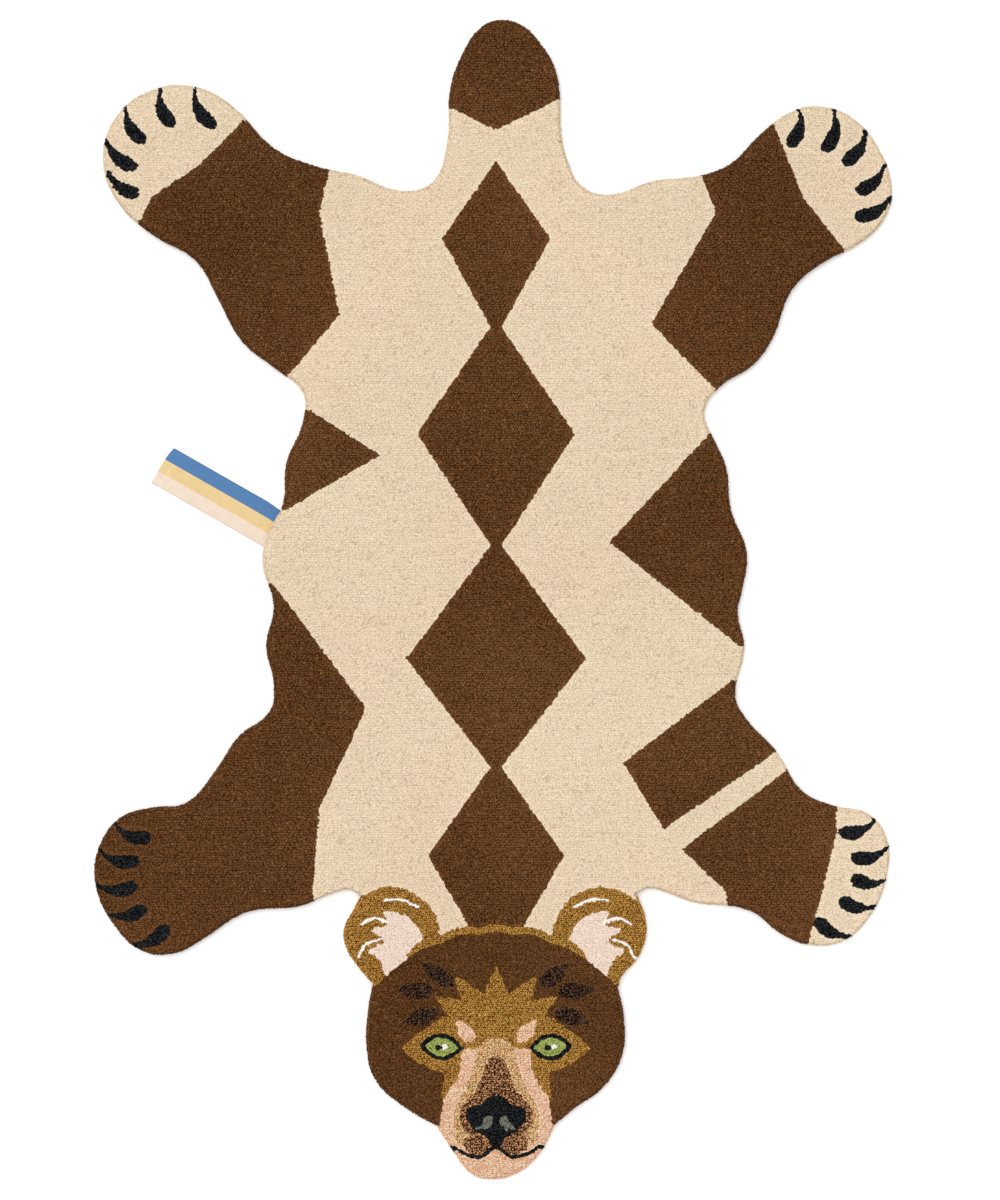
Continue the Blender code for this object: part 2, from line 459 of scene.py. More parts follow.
# Yarns
# Each yarn has a dark and a light shade, and "share" of it is light. Its strands part between
# the two, so do the cut ends of each strand (grain), faint bars along the tufting rows (streak)
# and broad clouds over the rug, and a few odd hairs are lighter or darker. "root" is painted
# shade: the share of the colour left down between the strands, each strand darkened from its tip
# toward its widest ring.
commonYarn = {"share": 0.5, "strands": 0.3, "grain": 0.9, "clouds": 0.3, "odd": 0.0,
              "streak": 0.45, "sheen": 0.03}
ownYarns = {
    "cream": {"dark": (0.62, 0.465, 0.32), "light": (0.94, 0.79, 0.585), "root": 0.68,
              "strands": 0.16, "grain": 0.55, "clouds": 0.35, "odd": -0.40, "sheen": 0.10},
    "white": {"dark": (0.80, 0.76, 0.69), "light": (0.93, 0.91, 0.86), "root": 0.75,
              "strands": 0.2, "grain": 0.5, "clouds": 0.2, "sheen": 0.10},
    "brown": {"dark": (0.070, 0.021, 0.0015), "light": (0.262, 0.114, 0.041), "root": 0.25,
              "strands": 0.20, "grain": 0.75, "clouds": 0.8, "odd": 0.45},
    "ochre": {"dark": (0.280, 0.108, 0.005), "light": (0.79, 0.430, 0.105), "root": 0.17,
              "grain": 1.05, "odd": 0.3},
    "petal": {"dark": (0.76, 0.57, 0.45), "light": (0.97, 0.83, 0.72), "root": 0.64,
              "strands": 0.2, "grain": 0.8, "clouds": 0.2, "sheen": 0.10},
    "blush": {"dark": (0.75, 0.38, 0.205), "light": (0.97, 0.705, 0.515), "root": 0.50,
              "share": 0.52, "strands": 0.45, "grain": 1.9, "sheen": 0.08, "streak": 1.8},
    "sand": {"dark": (0.52, 0.200, 0.055), "light": (0.99, 0.725, 0.385), "root": 0.34,
             "share": 0.52, "strands": 0.45, "grain": 1.8, "sheen": 0.06},
    "bridge": {"dark": (0.040, 0.006, 0.001), "light": (0.92, 0.45, 0.205), "root": 0.10,
               "share": 0.40, "strands": 0.6, "grain": 1.6, "odd": 0.4},
    "black": {"dark": (0.0010, 0.0012, 0.0016), "light": (0.044, 0.047, 0.051), "root": 0.05,
              "share": 0.42, "strands": 0.4, "grain": 1.2, "clouds": 0.2, "odd": 1.0,
              "sheen": 0.0},
    "grey": {"dark": (0.085, 0.090, 0.075), "light": (0.31, 0.31, 0.255), "root": 0.30,
             "strands": 0.4, "clouds": 0.2},
    "green": {"dark": (0.25, 0.32, 0.065), "light": (0.55, 0.65, 0.180), "root": 0.30,
              "clouds": 0.2},
    "dusk": {"dark": (0.005, 0.001, 0.0005), "light": (0.185, 0.097, 0.056), "root": 0.10,
             "share": 0.38, "strands": 0.5, "grain": 1.4, "odd": 0.5, "sheen": 0.0},
}
yarns = {name: {**commonYarn, **own} for name, own in ownYarns.items()}
yarnNames = list(yarns)

wool = {
    "roughness": 0.95,
    "specular": 0.05,
    "sheenRoughness": 0.45,
    "oddAbove": 0.965,  # one strand in thirty is an odd one
    "cloudSize": 3.0,  # in a metre
    "tintSize": 4.3,
    "tintRange": (0.36, 0.64),
    "grainSize": 420.0,  # cut ends in a metre
    "endRandom": 0.85,
    "fleck": (0.45, -1.5, 0.90),  # how far an end's own shade and its outline count
    # painted shade: a strand's height share below which it is fully darkened, and above which not at
    # all
    "paintedShadeRange": (0.30, 0.95),
    "streakSize": (16.0, 380.0, 1.0),
    "pinkTint": (1.015, 0.99, 0.985, 1.0),
    "greenTint": (0.985, 1.005, 0.985, 1.0),
    "fibreDepth": 0.00035,
    "fibreSize": 1900.0,
    "fibreStretch": (1.0, 1.0, 0.12),
    "fibreStrength": 0.8,
    "broadDetail": 2.0,
    "fineDetail": 1.0,
}


def woolGroup():
    # turns the strands' own numbers into the colour and the hairs of one yarn
    group, given = startGroup("woolStrands", (
        ("Dark", "Color", (0.1, 0.1, 0.1, 1.0)), ("Light", "Color", (0.8, 0.8, 0.8, 1.0)),
        ("Share", "Float", 0.5), ("Strands", "Float", 1.0), ("Grain", "Float", 1.0),
        ("Clouds", "Float", 0.2), ("Odd", "Float", 0.0), ("Streak", "Float", 0.3),
        ("Painted root shade", "Float", 0.6), ("Fibre depth", "Float", 0.0003)))
    add = partial(addNode, group)
    strand = add("Attribute", attribute_name="strand")
    parts = add("SeparateXYZ", {0: strand.outputs["Vector"]}).outputs
    place = add("TexCoord").outputs["Object"]

    def cloud(scale, detail, stretch=(1.0, 1.0, 1.0)):
        mapping = add("Mapping", {"Vector": place, "Scale": stretch})
        return add("TexNoise", {"Vector": mapping.outputs["Vector"], "Scale": scale,
                                "Detail": detail}).outputs["Fac"]

    ends = add("TexVoronoi", {"Vector": place, "Scale": wool["grainSize"],
                              "Randomness": wool["endRandom"]}, voronoi_dimensions="2D").outputs
    chance = add("SeparateColor", {"Color": ends["Color"]}).outputs["Red"]
    own, outline, level = wool["fleck"]
    edge = maths(group, "MULTIPLY_ADD", ends["Distance"], outline, level)
    fleck = maths(group, "MULTIPLY_ADD", chance, own, edge)
    bars = cloud(1.0, wool["fineDetail"], wool["streakSize"])
    broad = cloud(wool["cloudSize"], wool["broadDetail"])
    blend = given["Share"]
    for value, weight in ((parts["X"], "Strands"), (fleck, "Grain"), (bars, "Streak"),
                          (broad, "Clouds")):
        centred = maths(group, "SUBTRACT", value, 0.5)
        blend = maths(group, "MULTIPLY_ADD", centred, given[weight], blend)
    odd = maths(group, "GREATER_THAN", parts["Z"], wool["oddAbove"])
    blend = maths(group, "MULTIPLY_ADD", odd, given["Odd"], blend)
    mix = add("Mix", {"Factor": blend, "A": given["Dark"], "B": given["Light"]},
              data_type="RGBA", clamp_factor=True)

    # painted shade: each strand's colour is darkened from its tip down toward its widest ring, as if
    # shade fell between the strands
    low, high = wool["paintedShadeRange"]
    depth = add("MapRange", {"Value": parts["Y"], "From Min": low, "From Max": high,
                             "To Min": given["Painted root shade"]})
    low, high = wool["tintRange"]
    spread = add("MapRange", {"Value": cloud(wool["tintSize"], wool["broadDetail"]),
                              "From Min": low, "From Max": high})
    hue = add("Mix", {"Factor": spread.outputs["Result"], "A": wool["pinkTint"],
                      "B": wool["greenTint"]}, data_type="RGBA")
    tinted = add("VectorMath", {0: mix.outputs["Result"], 1: hue.outputs["Result"]},
                 operation="MULTIPLY")
    shade = add("VectorMath", {0: tinted.outputs[0], "Scale": depth.outputs["Result"]},
                operation="SCALE")
    fibres = cloud(wool["fibreSize"], wool["fineDetail"], wool["fibreStretch"])
    bump = add("Bump", {"Strength": wool["fibreStrength"], "Distance": given["Fibre depth"],
                        "Height": fibres})
    return endGroup(group, shade.outputs[0], bump.outputs["Normal"])


def yarnMaterial(name, group):
    yarn = yarns[name]
    made, shader = startMaterial(name + "Wool", wool)
    shades = {key.capitalize(): (*yarn[key], 1.0) for key in ("dark", "light")}
    weights = {key.capitalize(): yarn[key]
               for key in ("share", "strands", "grain", "clouds", "odd", "streak")}
    strands = addNode(made.node_tree, "Group", {
        **shades, **weights, "Painted root shade": yarn["root"], "Fibre depth": wool["fibreDepth"],
    }, node_tree=group)
    fill(shader, {"Sheen Weight": yarn["sheen"], "Sheen Roughness": wool["sheenRoughness"],
                  "Base Color": strands.outputs["Color"], "Normal": strands.outputs["Normal"]})
    return made


# Backing
backing = {
    "readRim": 0.0070,  # the rug's full outline is read at this height
    "top": 0.0108,  # the pile stands on it
    "keepBelow": 0.0030,  # the recess for the label stays as it is
    "inset": 0.0025,
    "shoulder": 0.0072,
    "canvas": (0.50, 0.42, 0.31),
    "weftShade": 0.88,
    "thread": 0.0011,
    "relief": 0.0002,
    "reliefStrength": 0.7,
    "hollowShade": 0.72,  # painted shade: how light the weave's colour is left between its threads
    "upright": 0.05,  # a face that leans less than this isn't drawn in
    "sharpAngle": 40.0,
    "roughness": 0.9,
    "specular": 0.2,
}


def readRim(node):
    # the edge of the CAD slab at one height, walked once round, in millimetres
    bm = bmesh.new()
    bm.from_mesh(node.data)
    bmesh.ops.remove_doubles(bm, verts=bm.verts, dist=weld)
    everything = bm.verts[:] + bm.edges[:] + bm.faces[:]
    bmesh.ops.bisect_plane(bm, geom=everything, dist=1e-6, plane_co=(0, 0, backing["readRim"]),
                           plane_no=(0, 0, 1), clear_inner=True, clear_outer=True)
    start = max(bm.verts, key=lambda v: v.co.y)
    ring = [start]
    edge = start.link_edges[0]
    while True:
        following = edge.other_vert(ring[-1])
        if following is start:
            break
        ring.append(following)
        edge = next(e for e in following.link_edges if e is not edge)
    loop = np.array([v.co.xy for v in ring]) / mm
    bm.free()
    area = 0.5 * np.sum(loop[:, 0] * np.roll(loop[:, 1], -1) - loop[:, 1] * np.roll(loop[:, 0], -1))
    return loop if area > 0 else loop[::-1]  # always anticlockwise, so that left is inside


rim = readRim(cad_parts["rug"])


def treeOf(points):
    tree = KDTree(len(points))
    for index, (x, y) in enumerate(points):
        tree.insert((x, y, 0.0), index)
    tree.balance()
    return tree


rimPoints, rimSides = walk(rim, 1.0)
rimTree = treeOf(rimPoints)


def fromRim(points):
    # how far inside the rim each point lies, below zero outside it
    nearest = [rimTree.find((x, y, 0.0))[1:] for x, y in points]
    index = np.array([n[0] for n in nearest], int)
    inside = ((points - rimPoints[index]) * rimSides[index]).sum(1) > 0
    return np.where(inside, 1.0, -1.0) * np.array([n[1] for n in nearest])


print("bear rug: rim read,", len(rim), "points")


def weaveGroup():
    # plain weave: one thread over, one under
    group, given = startGroup("plainWeave", (
        ("Vector", "Vector", None), ("Threads", "Float", 900.0),
        ("Warp", "Color", (0.5, 0.5, 0.5, 1.0)), ("Weft", "Color", (0.5, 0.5, 0.5, 1.0)),
        ("Relief", "Float", 0.0002)))
    add = partial(addNode, group)
    scaled = add("VectorMath", {0: given["Vector"], "Scale": given["Threads"]},
                 operation="SCALE").outputs[0]
    parts = add("SeparateXYZ", {0: scaled}).outputs
    warp, weft = (
        maths(group, "ABSOLUTE", maths(group, "SINE", maths(group, "MULTIPLY", parts[axis], math.pi)))
        for axis in "XY")
    over = add("TexChecker", {"Vector": scaled, "Scale": 1.0}).outputs["Fac"]
    height = add("Mix", {"Factor": over, "A": warp, "B": weft}).outputs["Result"]
    colour = add("Mix", {"Factor": over, "A": given["Warp"], "B": given["Weft"]},
                 data_type="RGBA").outputs["Result"]
    # painted shade in the hollows between the threads
    dim = add("MapRange", {"Value": height, "To Min": backing["hollowShade"]})
    shade = add("VectorMath", {0: colour, "Scale": dim.outputs["Result"]}, operation="SCALE")
    bump = add("Bump", {"Strength": backing["reliefStrength"], "Distance": given["Relief"],
                        "Height": height})
    return endGroup(group, shade.outputs[0], bump.outputs["Normal"])


def canvasMaterial(group):
    made, shader = startMaterial("cottonCanvas", backing)
    place = addNode(made.node_tree, "TexCoord").outputs["Object"]
    canvas = backing["canvas"]
    weave = addNode(made.node_tree, "Group", {
        "Vector": place, "Threads": 1.0 / backing["thread"], "Relief": backing["relief"],
        "Warp": (*canvas, 1.0), "Weft": (*(c * backing["weftShade"] for c in canvas), 1.0),
    }, node_tree=group)
    fill(shader, {"Base Color": weave.outputs["Color"], "Normal": weave.outputs["Normal"]})
    return made


def makeBacking(group):
    # the CAD slab, lowered to where the pile is rooted and drawn in at its rim
    bm = bmesh.new()
    bm.from_mesh(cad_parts["rug"].data)
    bmesh.ops.remove_doubles(bm, verts=bm.verts, dist=weld)
    height = cadHigh.z
    squeeze = (backing["top"] - backing["keepBelow"]) / (height - backing["keepBelow"])
    points = np.array([v.co.xy for v in bm.verts]) / mm
    inward = np.abs(fromRim(points)) * mm
    for vert, depth in zip(bm.verts, inward):
        sideways = Vector((vert.normal.x, vert.normal.y, 0.0))
        if depth < backing["shoulder"] and sideways.length > backing["upright"]:
            draw = backing["inset"] * (1 - depth / backing["shoulder"])
            vert.co -= sideways.normalized() * draw
    for vert in bm.verts:
        if vert.co.z > backing["keepBelow"]:
            vert.co.z = backing["keepBelow"] + (vert.co.z - backing["keepBelow"]) * squeeze
    mesh = bpy.data.meshes.new("canvasBacking")
    bm.to_mesh(mesh)
    bm.free()
    mesh.shade_smooth()
    mesh.set_sharp_from_angle(angle=math.radians(backing["sharpAngle"]))
    made = bpy.data.objects.new("canvasBacking", mesh)
    bpy.context.scene.collection.objects.link(made)
    mesh.materials.append(canvasMaterial(group))
    return made


weave = weaveGroup()
canvas = makeBacking(weave)
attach(canvas, "root")
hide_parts("rug")
print("bear rug: backing made")


# Pile
pile = {
    "sides": 5,
    "rowPitch": 3.2,
    "strandPitch": 3.3,
    "faceRowPitch": 2.7,
    "faceStrandPitch": 2.8,
    "wobble": 0.17,  # of the pitch
    "fatness": 0.95,  # radius as a share of the pitch
    "sizeRange": (0.9, 1.1),
    "swellRange": (0.86, 1.14),  # of the radius, from corner to corner
    "height": 15.0,
    "shoulder": 7.0,  # radius of the rounded rim
    "uneven": 0.22,
    "unevenRange": (-0.7, 0.5),
    "relief": 1.25,  # from a strand's tip down to its widest ring
    "root": 10.2,
    "nap": (0.0, -0.40),
    "scatter": 0.36,
    "footLean": 0.4,  # how far a foot moves against its tip
    "clearRim": 5.5,
    "closest": 0.72,  # of the pitch, between two strands along an edge
    "widestGap": 0.60,  # of the pitch, from any spot to the nearest strand
    "smallShape": (40.0, 0.85, 0.15),  # below this size the strands round it stand closer
    "border": 1.5,  # pitches on each side of the fine rows' edge
    "cell": 0.46,  # of the pitch, a strand's own place on the map
    "mapEdge": 0.01,
    "rimPitch": 2.45,
    "rimPaintedShade": 0.58,  # painted shade: rim strands keep this even level of it along their whole length, not darker at the root
    "colourIn": 5.0,  # rim strands take the colour of the field this far in
}

# Where bare canvas is looked for: round every edge strand, and in rings along the rim
search = {"step": 1.5, "steps": 2, "ringFrom": -0.7, "ringTo": 12.0, "ringStep": 1.1, "slack": 0.8}

# Strands round the rim: how far in they are rooted, how high, and where their tips lean out to.
# The belly is the share of its length at which a strand is widest.
rimRows = (
    {"footIn": 3.0, "foot": 0.15, "tipIn": 0.7, "tip": 7.4, "belly": 0.19, "radius": 2.15,
     "shift": 0.0, "mapIn": -1.5},
    {"footIn": 3.7, "foot": 0.9, "tipIn": 1.4, "tip": 11.8, "belly": 0.55, "radius": 2.3,
     "shift": 0.5, "mapIn": 1.4},
    {"footIn": 5.8, "foot": 5.0, "tipIn": 4.0, "tip": 14.3, "belly": 0.60, "radius": 2.8,
     "shift": 0.2, "mapIn": 4.2},
)

rimStray = {
    "sound": 0.8,  # left out where the rim bends so that the foot is nearer to it than this
    "along": 0.75,
    "across": 0.25,
    "rise": 0.35,
    "riseRange": (-0.8, 0.6),
    "footRise": 0.2,
    "cell": 1.4,
}

zones = {  # where each piece of pile is centred; the face's own yarns all go with the head
    "tail": (0, 640), "leftHind": (-390, 520), "rightHind": (390, 500), "rump": (0, 360),
    "waist": (0, 80), "shoulders": (0, -210), "leftFore": (-400, -350),
    "rightFore": (400, -350), "head": (3, -570),
}


def yarnAt(points):
    found = np.full(len(points), yarnNames.index("cream"))
    for yarn, loop in shapes:
        found[inLoop(points, loop)] = yarnNames.index(yarn)
    return found


def onHead(points):
    found = np.zeros(len(points), bool)
    for _, loop in headShapes:
        found |= inLoop(points, loop)
    place, reach = face["jaw"]
    return found | ((points[:, 1] < place) & (np.abs(points[:, 0] - face["axis"]) < reach))


def grid(rowPitch, strandPitch):
    low, high = rim.min(0), rim.max(0)
    across = np.arange(low[0], high[0], strandPitch)
    up = np.arange(low[1], high[1], rowPitch)
    x, y = np.meshgrid(across, up)
    x = x + (np.arange(len(up)) % 2)[:, None] * strandPitch / 2
    points = np.stack([x.ravel(), y.ravel()], 1)
    slip = dice.uniform(-1, 1, points.shape) * pile["wobble"]
    return points + slip * (strandPitch, rowPitch)


def thinned(points, gap):
    # keeps the first of any two points nearer than the gap
    kept, cells = [], {}
    for index, (x, y) in enumerate(points):
        column, row = int(x // gap), int(y // gap)
        near = (n for i in (-1, 0, 1) for j in (-1, 0, 1)
                for n in cells.get((column + i, row + j), ()))
        if all((points[n][0] - x) ** 2 + (points[n][1] - y) ** 2 >= gap * gap for n in near):
            kept.append(index)
            cells.setdefault((column, row), []).append(index)
    return np.array(kept)


def edgeStrands():
    # a strand on each side of every colour edge, so that the fields meet in clean lines
    found = []
    small, least, more = pile["smallShape"]
    for yarn, loop in reversed(shapes):
        size = min(np.ptp(loop, axis=0).max() / small, 1.0)
        fine = yarn == "black" or onHead(loop).any()
        pitch = pile["faceStrandPitch"] if fine else pile["strandPitch"]
        points, side = walk(loop, pitch * (least + more * size))
        inner, outer = points + side * pitch / 2, points - side * pitch / 2
        parted = yarnAt(inner) != yarnAt(outer)
        found.append(np.concatenate([inner[parted], outer[parted]]))
    points = np.concatenate(found)
    points = points[fromRim(points) > pile["clearRim"]]
    return points[thinned(points, pile["faceStrandPitch"] * pile["closest"])]


def apartFrom(points, others, gap):
    tree = treeOf(others)
    return np.array([tree.find((x, y, 0.0))[2] >= gap for x, y in points])


def aroundEdges(edges):
    # spots where the rows, the colour edges and the rim may leave bare canvas
    steps = np.arange(-search["steps"], search["steps"] + 1) * search["step"]
    x, y = np.meshgrid(steps, steps)
    spots = (edges[:, None] + np.stack([x.ravel(), y.ravel()], 1)[None]).reshape(-1, 2)
    points, side = walk(rim, search["step"])
    insets = np.arange(pile["clearRim"] + search["ringFrom"], search["ringTo"], search["ringStep"])
    spots = np.concatenate([spots] + [points + side * inset for inset in insets])
    return spots[fromRim(spots) > pile["clearRim"] - search["slack"]]


def layStrands():
    fine = grid(pile["faceRowPitch"], pile["faceStrandPitch"])
    fine = fine[onHead(fine)]
    coarse = grid(pile["rowPitch"], pile["strandPitch"])
    coarse = coarse[~onHead(coarse)]
    edges = edgeStrands()
    laid = [edges]
    for points, pitch in ((fine, pile["faceStrandPitch"]), (coarse, pile["strandPitch"])):
        points = points[fromRim(points) > pile["clearRim"]]
        laid.append(points[apartFrom(points, edges, pitch * pile["closest"])])
    edges, fine, coarse = laid
    coarse = coarse[apartFrom(coarse, fine, pile["faceStrandPitch"] * pile["closest"])]
    points = np.concatenate([edges, fine, coarse])
    spots = aroundEdges(np.concatenate([edges, fine[onBorder(fine)]]))
    around, side = walk(rim, pile["rimPitch"])
    held = np.concatenate([points, around + side * rimRows[-1]["tipIn"]])
    bare = spots[apartFrom(spots, held, pile["strandPitch"] * pile["widestGap"])]
    kept = thinned(bare, pile["faceStrandPitch"] * pile["widestGap"])
    points = np.concatenate([points, bare[kept]])
    pitch = np.where(onHead(points), pile["faceStrandPitch"], pile["strandPitch"])
    return points, pitch


def onBorder(points):
    # strands of the head's fine rows that have the body's coarse rows beside them
    reach = pile["strandPitch"] * pile["border"]
    return ~(onHead(points + (reach, 0)) & onHead(points - (reach, 0))
             & onHead(points + (0, reach)) & onHead(points - (0, reach)))


def fieldStrands():
    points, pitch = layStrands()
    count = len(points)
    radius = pile["shoulder"]
    shoulder = np.clip(radius - np.abs(fromRim(points)), 0.0, radius)
    drop = radius - np.sqrt(radius ** 2 - shoulder ** 2)
    uneven = dice.normal(0, pile["uneven"], count).clip(*pile["unevenRange"])
    top = pile["height"] - drop + uneven
    lean = dice.normal(0, pile["scatter"], (count, 2)) + pile["nap"]
    tip = np.column_stack([points + lean, top])
    foot = np.column_stack([points - lean * pile["footLean"], np.full(count, pile["root"])])
    return {
        "foot": foot, "tip": tip, "spot": points,
        "belly": (top - pile["relief"] - pile["root"]) / (top - pile["root"]),
        "radius": pitch * pile["fatness"] * dice.uniform(*pile["sizeRange"], count),
        "yarn": yarnAt(points), "cell": pitch * pile["cell"], "paintedShadeLift": np.zeros(count),
    }


def rimStrands():
    found = []
    for row in rimRows:
        points, side = walk(rim, pile["rimPitch"], row["shift"])
        sound = fromRim(points + side * row["footIn"]) > row["footIn"] * rimStray["sound"]
        points, side = points[sound], side[sound]
        count = len(points)
        along = side[:, ::-1] * (1, -1) * dice.normal(0, rimStray["along"], (count, 1))
        across = row["tipIn"] + dice.normal(0, rimStray["across"], (count, 1))
        rise = row["tip"] + dice.normal(0, rimStray["rise"], count).clip(*rimStray["riseRange"])
        low = row["foot"] + dice.uniform(0, rimStray["footRise"], count)
        foot = points + side * row["footIn"] + along * pile["footLean"]
        found.append({
            "foot": np.column_stack([foot, low]),
            "tip": np.column_stack([points + side * across + along, rise]),
            "spot": points + side * row["mapIn"],
            "belly": dice.uniform(*pile["sizeRange"], count) * row["belly"],
            "radius": row["radius"] * dice.uniform(*pile["sizeRange"], count),
            "yarn": yarnAt(points + side * pile["colourIn"]),
            "cell": np.full(count, rimStray["cell"]),
            # rim strands: the painted root shade held at one even level
            "paintedShadeLift": np.full(count, pile["rimPaintedShade"]),
        })
    return {key: np.concatenate([f[key] for f in found]) for key in found[0]}


def strandShape():
    # a ring with a point above and a point below
    bm = bmesh.new()
    bmesh.ops.create_cone(bm, cap_ends=False, segments=pile["sides"], radius1=1.0,
                          radius2=0.0, depth=1.0)
    bmesh.ops.translate(bm, verts=bm.verts, vec=(0.0, 0.0, 0.5))
    bmesh.ops.mirror(bm, geom=bm.verts[:] + bm.edges[:] + bm.faces[:], axis="Z",
                     merge_dist=0.01)
    bmesh.ops.remove_doubles(bm, verts=bm.verts, dist=0.01)
    bmesh.ops.triangulate(bm, faces=bm.faces)
    bmesh.ops.recalc_face_normals(bm, faces=bm.faces)
    bm.verts.index_update()
    corners = np.array([v.co for v in bm.verts])
    # the hidden lower faces come first, the upper ones last
    faces = sorted(bm.faces, key=lambda f: f.calc_center_median().z)
    faces = np.array([[v.index for v in f.verts] for f in faces])
    bm.free()
    return corners, faces


strandCorners, strandFaces = strandShape()
print("bear rug: strand has", len(strandCorners), "corners and", len(strandFaces), "faces")


def joinStrands(name, strands, material):
    # one mesh of many strands, each with its own lean, spin, shade and spot on the map
    count, size = len(strands["foot"]), len(strandCorners)
    level = strandCorners[:, 2]
    ring = np.abs(level) < 0.5
    share = np.where(ring, strands["belly"][:, None], (level > 0)[None].astype(float))
    spin = dice.uniform(0, 2 * math.pi, count)
    angle = np.arctan2(strandCorners[:, 1], strandCorners[:, 0])[None] + spin[:, None]
    star = np.stack([np.cos(angle), np.sin(angle)], 2) * ring[None, :, None]
    swell = strands["radius"][:, None] * dice.uniform(*pile["swellRange"], (count, size))
    foot, tip = strands["foot"][:, None], strands["tip"][:, None]
    places = foot + (tip - foot) * share[:, :, None]
    places[:, :, :2] += star * swell[:, :, None]
    faces = strandFaces[None] + (np.arange(count) * size)[:, None, None]
    half = len(strandFaces) // 2
    faces = np.concatenate([faces[:, :half].reshape(-1, 3), faces[:, half:].reshape(-1, 3)])

    mesh = bpy.data.meshes.new(name)
    mesh.from_pydata(places.reshape(-1, 3) * mm, [], faces)
    mesh.shade_smooth()
    ends = np.empty(len(mesh.edges) * 2, np.int32)
    mesh.edges.foreach_get("vertices", ends)
    ends = ends.reshape(-1, 2)
    crease = ring[ends % size].all(1) & (strands["paintedShadeLift"][ends[:, 0] // size] == 0)
    mesh.attributes.new("sharp_edge", "BOOLEAN", "EDGE").data.foreach_set("value", crease)

    numbers = np.zeros((count, size, 3), np.float32)
    numbers[:, :, 0] = dice.uniform(0, 1, (count, 2)).mean(1)[:, None]
    # painted shade: how high up its strand each corner is, at least the rim strands' even level; the
    # wool colour is darkened below the tip by this
    numbers[:, :, 1] = np.maximum(~ring & (level > 0), strands["paintedShadeLift"][:, None])
    numbers[:, :, 2] = dice.uniform(0, 1, count)[:, None]
    strand = mesh.attributes.new("strand", "FLOAT_VECTOR", "POINT")
    strand.data.foreach_set("vector", numbers.ravel())

    spots = strands["spot"][:, None] + star * strands["cell"][:, None, None]
    low, high = spots.min((0, 1)), spots.max((0, 1))
    edge = pile["mapEdge"]
    spots = edge + (1 - 2 * edge) * (spots - low) / np.maximum(high - low, 1e-6)
    corner = np.empty(len(mesh.loops), np.int32)
    mesh.loops.foreach_get("vertex_index", corner)
    layer = mesh.uv_layers.new(name="OFBake")
    layer.uv.foreach_set("vector", spots.reshape(-1, 2)[corner].astype(np.float32).ravel())

    mesh.materials.append(material)
    made = bpy.data.objects.new(name, mesh)
    bpy.context.scene.collection.objects.link(made)
    return made


def makePile():
    group = woolGroup()
    field, edge = fieldStrands(), rimStrands()
    strands = {key: np.concatenate([field[key], edge[key]]) for key in field}
    print("bear rug: strands", len(field["foot"]), "in the field and", len(edge["foot"]),
          "round the rim")
    centres = np.array(list(zones.values()), float)
    gaps = ((strands["spot"][:, None] - centres[None]) ** 2).sum(2)
    zone = gaps.argmin(1)
    common = np.isin(strands["yarn"], [yarnNames.index(y) for y in ("cream", "brown", "black")])
    zone[~common] = list(zones).index("head")
    made = []
    for yarnIndex, yarn in enumerate(yarnNames):
        material = yarnMaterial(yarn, group)
        for zoneIndex, zoneName in enumerate(zones):
            chosen = (strands["yarn"] == yarnIndex) & (zone == zoneIndex)
            if not chosen.any():
                continue
            part = {key: values[chosen] for key, values in strands.items()}
            name = yarn + "Pile" + zoneName[0].upper() + zoneName[1:]
            piece = joinStrands(name, part, material)
            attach(piece, "root")
            made.append(piece)
    return made


pilePieces = makePile()
print("bear rug: pile made,", sum(len(p.data.polygons) for p in pilePieces), "faces in",
      len(pilePieces), "pieces of at most", max(len(p.data.polygons) for p in pilePieces))


# Label
label = {
    "width": 0.0540,
    "thick": 0.0007,
    "tuck": 0.0170,
    "out": 0.1640,
    "rise": 0.0022,  # over both layers
    "angle": 150.3,
    "root": (-0.2868, 0.0933),
    "bow": 0.018,  # how much shorter the blue edge is
    "pinch": 0.0022,  # how far the blue edge is drawn in at the rug
    "pinchReach": 0.013,
    "sag": 0.0006,
    "creaseIn": 0.011,  # from the fold
    "creaseWide": 0.0010,
    "creasePale": 0.16,
    "wear": 0.10,  # how far its colours vary
    "wearSize": 90.0,  # in a metre
    "bands": (0.345, 0.665),  # where blue meets mustard and mustard meets peach
    "stepsAlong": 40,
    "stepsAcross": 9,
    "foldSteps": 8,
    "blue": (0.043, 0.160, 0.362),
    "mustard": (0.70, 0.50, 0.22),
    "peach": (0.74, 0.60, 0.47),
    "weftShade": (0.92, 1.08),  # saturation and brightness
    "thread": 0.0005,
    "relief": 0.00008,
    "roughness": 0.55,
    "specular": 0.35,
    "sheen": 0.15,
}


def creasePlace():
    # its distance along the flat ribbon
    bend = (label["rise"] - label["thick"]) / 2
    straight = label["tuck"] + label["out"] - bend - label["thick"] / 2
    return straight + math.pi * bend + label["creaseIn"]


